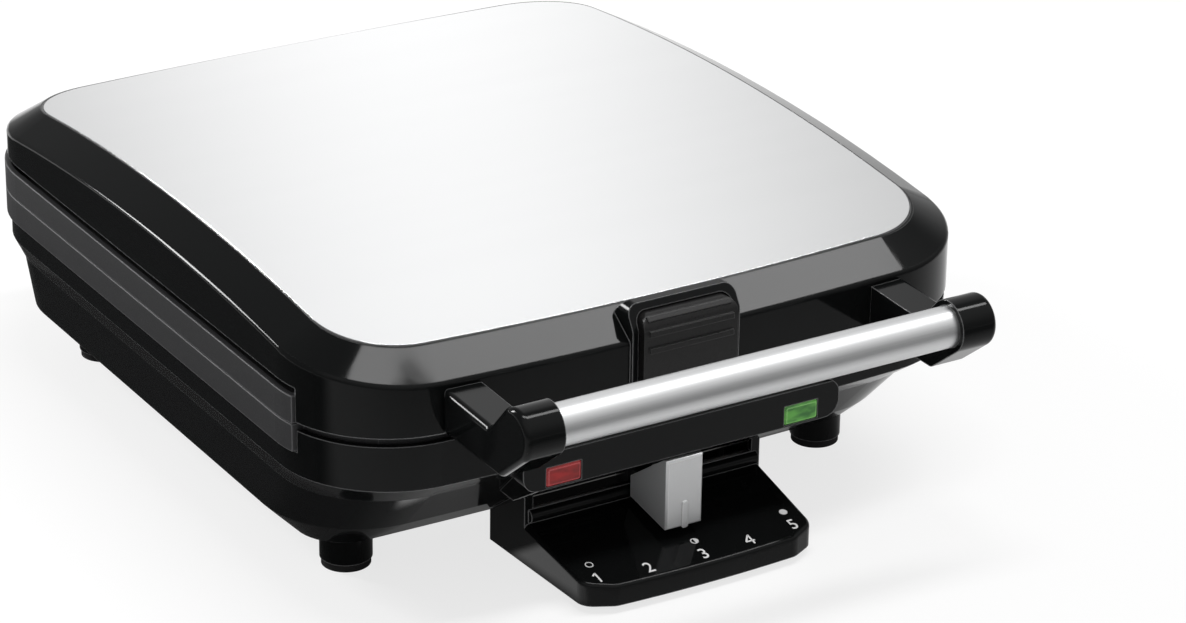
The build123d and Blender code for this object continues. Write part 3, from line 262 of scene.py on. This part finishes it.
def plainPlastic(name, shade, rough, shine=0.4):
    finish = Finish(name)
    grain = finish.noise(finish.place(), plainPlastics["grainScale"])
    tone = finish.mix(grain, shaded(shade, plainPlastics["darkest"]),
                      shaded(shade, plainPlastics["lightest"]))
    roughness = rough - plainPlastics["smoother"] + plainPlastics["roughGrain"] * grain
    return finish.surface(Base_Color=tone, Roughness=roughness, Specular_IOR_Level=shine,
                          Normal=finish.bump(grain, plainPlastics["grain"],
                                             plainPlastics["grainDepth"],
                                             plainPlastics["edgeRadius"]))


# Silver paint of the knob, with a painted highlight along sharp edges
silver = {"dark": (0.6, 0.605, 0.61), "light": (0.7, 0.705, 0.71), "flakeScale": 2600,
          "edge": (0.95, 0.95, 0.95), "edgeShare": 0.9, "highlightRadius": 0.0006, "metal": 0.5,
          "rough": 0.27, "roughFlake": 0.08, "flake": 0.05, "flakeDepth": 0.0002,
          "edgeRadius": 0.0005}


def silverKnob():
    finish = Finish("silverKnobPaint")
    flake = finish.noise(finish.place(), silver["flakeScale"], 1)
    paint = finish.mix(flake, silver["dark"], silver["light"])
    # Painted highlight: near white along sharp edges
    tone = finish.mix(finish.edgeWear(silver["highlightRadius"]) * silver["edgeShare"], paint, silver["edge"])
    return finish.surface(Base_Color=tone, Metallic=silver["metal"],
                          Roughness=silver["rough"] + silver["roughFlake"] * flake,
                          Normal=finish.bump(flake, silver["flake"], silver["flakeDepth"],
                                             silver["edgeRadius"]))


# Tinted lenses that glow a little, cloudy inside, with a painted highlight along the rim
lens = {"stretch": (1, 1, 2.5), "cloudScale": 150, "cloudLow": 0.3, "cloudHigh": 0.7,
        "rimRadius": 0.0009, "rimShare": 0.75, "rough": 0.12, "shine": 0.35, "edgeRadius": 0.0003}


def lampLens(name, deep, bright, rim, glow):
    finish = Finish(name)
    cloud = finish.noise(finish.place(lens["stretch"]), lens["cloudScale"])
    glass = finish.mix(cloud.step(lens["cloudLow"], lens["cloudHigh"]), deep, bright)
    # Painted highlight: a pale tint along the lens rim, which also glows
    tone = finish.mix(finish.edgeWear(lens["rimRadius"]) * lens["rimShare"], glass, rim)
    return finish.surface(Base_Color=tone, Roughness=lens["rough"], Specular_IOR_Level=lens["shine"],
                          Emission_Color=tone, Emission_Strength=glow,
                          Normal=finish.softEdge(lens["edgeRadius"]))


# One finish for each material slot, and one for a node that differs from its slot
finishes = {
    "housing": glossBlack("glossBlackPlastic", 0.0007),
    "latch": satinGrey(),
    "cover_steel": brushedCover(),
    "tube_metal": brushedTube(),
    "plate_coating": castCoating(),
    "element_steel": plainMetal("heaterSheath", (0.24, 0.22, 0.2), 0.42),
    "reflector_metal": plainMetal("aluminisedReflector", (0.72, 0.72, 0.7), 0.32),
    "foot_plastic": glossBlack("footPlastic", 0.0008),
    "pad_rubber": plainPlastic("padRubber", (0.02, 0.02, 0.02), 0.75, 0.2),
    "knob_grey": silverKnob(),
    "mechanism_plastic": plainPlastic("mechanismNylon", (0.62, 0.6, 0.55), 0.5),
    "slider_carriage": plainPlastic("carriageNylon", (0.015, 0.015, 0.016), 0.5),
    "fastener_steel": plainMetal("platedScrews", (0.6, 0.6, 0.58), 0.3),
    "lens_red": lampLens("redLens", (0.13, 0.005, 0.005), (0.25, 0.009, 0.009), (0.55, 0.12, 0.13), 0.35),
    "lens_green": lampLens("greenLens", (0.025, 0.11, 0.022), (0.08, 0.27, 0.045), (0.3, 0.62, 0.2), 0.38),
    "lamp_glass": plainPlastic("lampGlass", (0.75, 0.5, 0.35), 0.1),
}
for part in frame["record"]["subparts"]:
    shown = nodes[part["node"]]
    shown.data.materials.clear()
    shown.data.materials.append(finishes.get(part["node"], finishes[part["material_slot"]]))
print("finishes on the pieces from the frame")


def meshObject(name, shape, material):
    mesh = bpy.data.meshes.new(name)
    shape.to_mesh(mesh)
    shape.free()
    mesh.materials.append(material)
    made = bpy.data.objects.new(name, mesh)
    scene.collection.objects.link(made)
    return made


def addPiece(name, shape, body, material):
    bmesh.ops.recalc_face_normals(shape, faces=shape.faces)
    piece = meshObject(name, shape, material)
    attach(piece, body)


# Plate that closes the back of the control housing below the slider's carriage
backPlate = {"low": (-0.05135, -0.0941, 0.0034), "high": (0.05135, -0.0925, 0.0214),
             "edge": 0.0004, "edgeSegments": 2, "border": 0.003, "panel": 0.0005}


def makeBackPlate():
    size = [high - low for low, high in zip(backPlate["low"], backPlate["high"])]
    middle = [(high + low) / 2 for low, high in zip(backPlate["low"], backPlate["high"])]
    shape = bmesh.new()
    bmesh.ops.create_cube(shape, size=1)
    bmesh.ops.scale(shape, vec=size, verts=shape.verts)
    bmesh.ops.translate(shape, vec=middle, verts=shape.verts)
    broad = [face for face in shape.faces if abs(face.normal.y) > 0.9]
    bmesh.ops.inset_individual(shape, faces=broad, thickness=backPlate["border"],
                               depth=-backPlate["panel"])
    rim = [edge for edge in shape.edges if edge.calc_face_angle(0) > 1]
    bmesh.ops.bevel(shape, geom=rim, offset=backPlate["edge"], segments=backPlate["edgeSegments"],
                    profile=0.5, affect="EDGES", material=-1)
    addPiece("control_back_plate", shape, "base", finishes["housing"])


# The shelf's top slopes up from its lip to the riser
shelf = {"frontY": -0.16335, "lipZ": 0.0113, "rootY": -0.11605, "rootZ": 0.0197}


def onShelf(x, y, lift):  # frame of axes on the sloping top
    lean = math.atan2(shelf["rootZ"] - shelf["lipZ"], shelf["rootY"] - shelf["frontY"])
    z = shelf["lipZ"] + (y - shelf["frontY"]) * math.tan(lean)
    return Matrix.Translation((x, y, z + lift)) @ Matrix.Rotation(lean, 4, "X")


# White ink of the numbers and marks
whiteInk = {"dark": (0.72, 0.72, 0.72), "light": (0.86, 0.86, 0.86), "grainScale": 2400,
            "rough": 0.5, "roughGrain": 0.1, "shine": 0.2}


def printInk():
    finish = Finish("whitePrint")
    grain = finish.noise(finish.place(), whiteInk["grainScale"])
    tone = finish.mix(grain, whiteInk["dark"], whiteInk["light"])
    return finish.surface(Base_Color=tone, Roughness=whiteInk["rough"] + whiteInk["roughGrain"] * grain,
                          Specular_IOR_Level=whiteInk["shine"])


# Numbers 1 to 5 on a shallow arc, printed as a film on the shelf
dial = {"middle": 3, "pitch": 0.022, "shifts": (0.0001, -0.0009, 0.0011, 0.0001, -0.0009),
        "middleY": -0.1578, "bow": 0.0026, "size": 0.0084, "narrow": 0.9, "bold": 0.00003,
        "curveSteps": 4, "weld": 0.00001, "film": 0.00012, "lift": 0.00002}

# Straight strokes of the 1, for its flag, and of the 4, for its open eye, which the font lacks
strokeWidth = 0.00072
strokes = {
    1: [((-0.0015, 0.0017), (0.0001, 0.003)), ((0, 0.0032), (0, -0.0025))],
    4: [((0.0008, 0.0031), (-0.0019, -0.0005)), ((-0.0021, -0.0005), (0.0019, -0.0005)),
        ((0.0008, 0.0032), (0.0008, -0.0025))],
}

# Browning marks behind three of the numbers: a ring that is empty, half full and full
marks = {"filled": {1: 0, 3: 0.5, 5: 1}, "behind": 0.0083, "aside": 0.0009, "radius": 0.00165,
         "ring": 0.0004, "segments": 40}


def dialPlace(number, aside, behind, lift):
    step = number - dial["middle"]
    x = step * dial["pitch"] + dial["shifts"][number - 1] + aside
    y = dial["middleY"] + dial["bow"] * (step / 2) ** 2 + behind
    return onShelf(x, y, lift)


def addDigit(number, shape, ink):  # a digit that is drawn around the middle of its film
    spot = dialPlace(number, 0, 0, dial["film"] / 2 + dial["lift"])
    bmesh.ops.transform(shape, matrix=spot, verts=shape.verts)
    addPiece(f"digit_{number}", shape, "base", ink)


def makeDigit(number, ink):
    curve = bpy.data.curves.new("digitShape", "FONT")
    curve.body = str(number)
    curve.size = dial["size"]
    curve.align_x = "CENTER"
    curve.align_y = "CENTER"
    curve.extrude = dial["film"] / 2
    curve.offset = dial["bold"]
    curve.resolution_u = dial["curveSteps"]
    holder = bpy.data.objects.new("digitHolder", curve)
    scene.collection.objects.link(holder)
    bpy.context.view_layer.update()
    drawn = bpy.data.meshes.new_from_object(holder.evaluated_get(bpy.context.evaluated_depsgraph_get()))
    bpy.data.objects.remove(holder)
    shape = bmesh.new()
    shape.from_mesh(drawn)
    bpy.data.meshes.remove(drawn)
    bmesh.ops.remove_doubles(shape, verts=shape.verts, dist=dial["weld"])
    bmesh.ops.scale(shape, vec=(dial["narrow"], 1, 1), verts=shape.verts)
    addDigit(number, shape, ink)


def makeStraight(number, ink):
    shape = bmesh.new()
    for start, end in strokes[number]:
        reach = Vector(end) - Vector(start)
        middle = (Vector(end) + Vector(start)) / 2
        bar = bmesh.ops.create_cube(shape, size=1)["verts"]
        bmesh.ops.scale(shape, vec=(reach.length, strokeWidth, dial["film"]), verts=bar)
        turn = Matrix.Rotation(math.atan2(reach.y, reach.x), 4, "Z")
        bmesh.ops.transform(shape, matrix=Matrix.Translation((*middle, 0)) @ turn, verts=bar)
    addDigit(number, shape, ink)


def makeRing(radius, width, film):
    shape = bmesh.new()
    corners = [(radius - width, 0, 0), (radius, 0, 0), (radius, 0, film), (radius - width, 0, film)]
    made = [shape.verts.new(corner) for corner in corners]
    edges = [shape.edges.new((made[i], made[i - 1])) for i in range(4)]
    bmesh.ops.spin(shape, geom=made + edges, cent=(0, 0, 0), axis=(0, 0, 1), angle=2 * math.pi,
                   steps=marks["segments"], use_merge=True)
    return shape


def makeMark(number, filled, ink):
    shape = makeRing(marks["radius"], marks["ring"], dial["film"])
    if filled:
        inner = marks["radius"] - marks["ring"] / 2
        core = bmesh.ops.create_cone(shape, cap_ends=True, segments=marks["segments"],
                                     depth=dial["film"], radius1=inner, radius2=inner)["verts"]
        bmesh.ops.translate(shape, vec=(0, 0, dial["film"] / 2), verts=core)
        if filled < 1:  # the left half is cut away and the cut closed
            parts = list(core)
            parts += [e for e in shape.edges if all(v in core for v in e.verts)]
            parts += [f for f in shape.faces if all(v in core for v in f.verts)]
            cut = bmesh.ops.bisect_plane(shape, geom=parts, plane_co=(0, 0, 0), plane_no=(1, 0, 0),
                                         clear_inner=True)["geom_cut"]
            seam = [e for e in cut if isinstance(e, bmesh.types.BMEdge)]
            bmesh.ops.contextual_create(shape, geom=seam)
    spot = dialPlace(number, marks["aside"], marks["behind"], dial["lift"])
    bmesh.ops.transform(shape, matrix=spot, verts=shape.verts)
    addPiece(f"mark_{number}", shape, "base", ink)


makeBackPlate()
ink = printInk()
for number in range(1, 6):
    draw = makeStraight if number in strokes else makeDigit
    draw(number, ink)
for number, filled in marks["filled"].items():
    makeMark(number, filled, ink)
print("back plate, numbers and marks added")


def makeSheet(name, low, high, height, material):  # flat, and no lamp of its own
    shape = bmesh.new()
    bmesh.ops.create_grid(shape, x_segments=1, y_segments=1, size=0.5)
    bmesh.ops.scale(shape, vec=(high[0] - low[0], high[1] - low[1], 1), verts=shape.verts)
    middle = ((high[0] + low[0]) / 2, (high[1] + low[1]) / 2, height)
    bmesh.ops.translate(shape, vec=middle, verts=shape.verts)
    material.cycles.emission_sampling = "NONE"
    return meshObject(name, shape, material)


# Floor: paper that takes shadows, lifted by light of its own for the camera and for mirrors
floor = {"low": (-6, -6), "high": (6, 6), "paper": (0.9, 0.9, 0.9), "glow": 1.05, "seen": 0.72,
         "mirrored": 0.12}


def makeFloor():
    finish = Finish("paleFloor")
    seen = finish.node("ShaderNodeLightPath", output="Is Camera Ray")
    mirrored = finish.node("ShaderNodeLightPath", output="Is Glossy Ray")
    paper = finish.node("ShaderNodeBsdfDiffuse", None, {"Color": floor["paper"]})
    white = finish.node("ShaderNodeEmission", None, {"Color": (1, 1, 1), "Strength": floor["glow"]})
    share = seen * floor["seen"] + mirrored * floor["mirrored"]
    material = finish.end("ShaderNodeMixShader", {0: share, 1: paper, 2: white})
    makeSheet("floor", floor["low"], floor["high"], 0, material)


# Cards just above the floor that only reflections show, to darken or brighten the gloss black
cards = {
    "frontCard": {"low": (-0.5, -1.6), "high": (1.5, -0.2), "height": 0.0006, "fade": 0.3, "level": 0.16},
    "leftCard": {"low": (-0.5, -0.16), "high": (-0.06, 0.5), "height": 0.0006, "fade": 0.06, "level": 0.06},
    "shelfCard": {"low": (-0.1, -0.165), "high": (-0.052, -0.1), "height": 0.0012, "fade": 0.008,
                  "level": 1.7},
}


def makeCard(name, low, high, height, fade, level):
    finish = Finish(name + "Face")
    spot = finish.place()
    x, y = finish.along(spot, "X"), finish.along(spot, "Y")
    cover = (x.step(low[0], low[0] + fade) * (1 - x.step(high[0] - fade, high[0]))
             * y.step(low[1], low[1] + fade) * (1 - y.step(high[1] - fade, high[1])))
    clear = finish.node("ShaderNodeBsdfTransparent")
    face = finish.node("ShaderNodeEmission", None, {"Strength": level})
    material = finish.end("ShaderNodeMixShader", {0: cover, 1: clear, 2: face})
    card = makeSheet(name, low, high, height, material)
    card.visible_camera = False
    card.visible_shadow = False
    card.visible_diffuse = False


# Soft boxes, turned in degrees
boxes = {
    "overheadBox": {"place": (0.36, -0.19, 1.5), "aim": (0.36, -0.19, 0), "turn": -7.7, "width": 1.5,
                    "height": 0.24, "radiance": 14},
    "leftBackBox": {"place": (-0.9, 1.24, 0.72), "aim": (-0.1445, 0, 0.1), "turn": 0, "width": 0.24,
                    "height": 0.7, "radiance": 34},
}


def softBox(name, place, aim, turn, width, height, radiance):
    data = bpy.data.lights.new(name, "AREA")
    data.shape = "RECTANGLE"
    data.size = width
    data.size_y = height
    data.energy = radiance * math.pi * width * height
    lamp = bpy.data.objects.new(name, data)
    lamp.location = place
    lamp.rotation_mode = "QUATERNION"
    lamp.rotation_quaternion = ((Vector(aim) - Vector(place)).to_track_quat("-Z", "Y")
                                @ Quaternion((0, 0, 1), math.radians(turn)))
    lamp.visible_camera = False
    scene.collection.objects.link(lamp)


# Levels of the surroundings for diffuse light and in mirrors, with a glowing band behind
sky = {"ambient": 0.45, "mirror": 0.36, "front": 0.85, "frontY": 0.25, "frontLow": 0.05, "frontHigh": 0.8,
       "backdrop": 0.36, "backdropY": (0.2, 0.5), "backdropX": (0.05, 0.3),
       "glow": 0.8, "glowAt": 0.452, "glowHalf": 0.14}


class Sky(Finish):
    def __init__(self):
        world = bpy.data.worlds.new("paleStudio")
        scene.world = world
        world.use_nodes = True
        self.material = world
        self.tree = world.node_tree
        self.tree.nodes.clear()
        self.output = self.tree.nodes.new("ShaderNodeOutputWorld")

    def light(self):
        direction = self.node("ShaderNodeTexCoord", output="Generated")
        x, y, z = (self.along(direction, axis) for axis in "XYZ")
        mirrored = self.node("ShaderNodeLightPath", output="Is Glossy Ray")
        seen = self.node("ShaderNodeLightPath", output="Is Camera Ray")
        band = 1 - (x - sky["glowAt"]).size().step(0.0, sky["glowHalf"])
        behind = y.step(*sky["backdropY"]) * x.step(*sky["backdropX"])
        front = (1 - y.step(-sky["frontY"], sky["frontY"])) * z.step(sky["frontLow"], sky["frontHigh"])
        mirror = sky["mirror"] + sky["front"] * front + behind * (sky["backdrop"] + sky["glow"] * band)
        level = sky["ambient"] + mirrored * (mirror - sky["ambient"])
        self.end("ShaderNodeBackground", {"Strength": level + seen * (1 - level)})


# The photograph's camera, solved from its straight edges: degrees, and the lens in millimetres
view = {"place": (-0.759444, -1.31154, 0.739042), "azimuth": -31.6, "elevation": 24.42, "roll": 0.86,
        "lens": 125.54, "sensor": 36}


def makeCamera():
    data = bpy.data.cameras.new("camera")
    data.lens = view["lens"]
    data.sensor_width = view["sensor"]
    data.dof.use_dof = False
    camera = bpy.data.objects.new("camera", data)
    turn = math.radians(view["azimuth"])
    rise = math.radians(view["elevation"])
    back = Vector((math.sin(turn) * math.cos(rise), -math.cos(turn) * math.cos(rise), math.sin(rise)))
    camera.rotation_mode = "QUATERNION"
    camera.rotation_quaternion = (back.to_track_quat("Z", "Y")
                                  @ Quaternion((0, 0, 1), math.radians(view["roll"])))
    camera.location = view["place"]
    scene.collection.objects.link(camera)
    scene.camera = camera


makeFloor()
Sky().light()
for name, card in cards.items():
    makeCard(name, **card)
for name, box in boxes.items():
    softBox(name, **box)
makeCamera()
print("stage set")
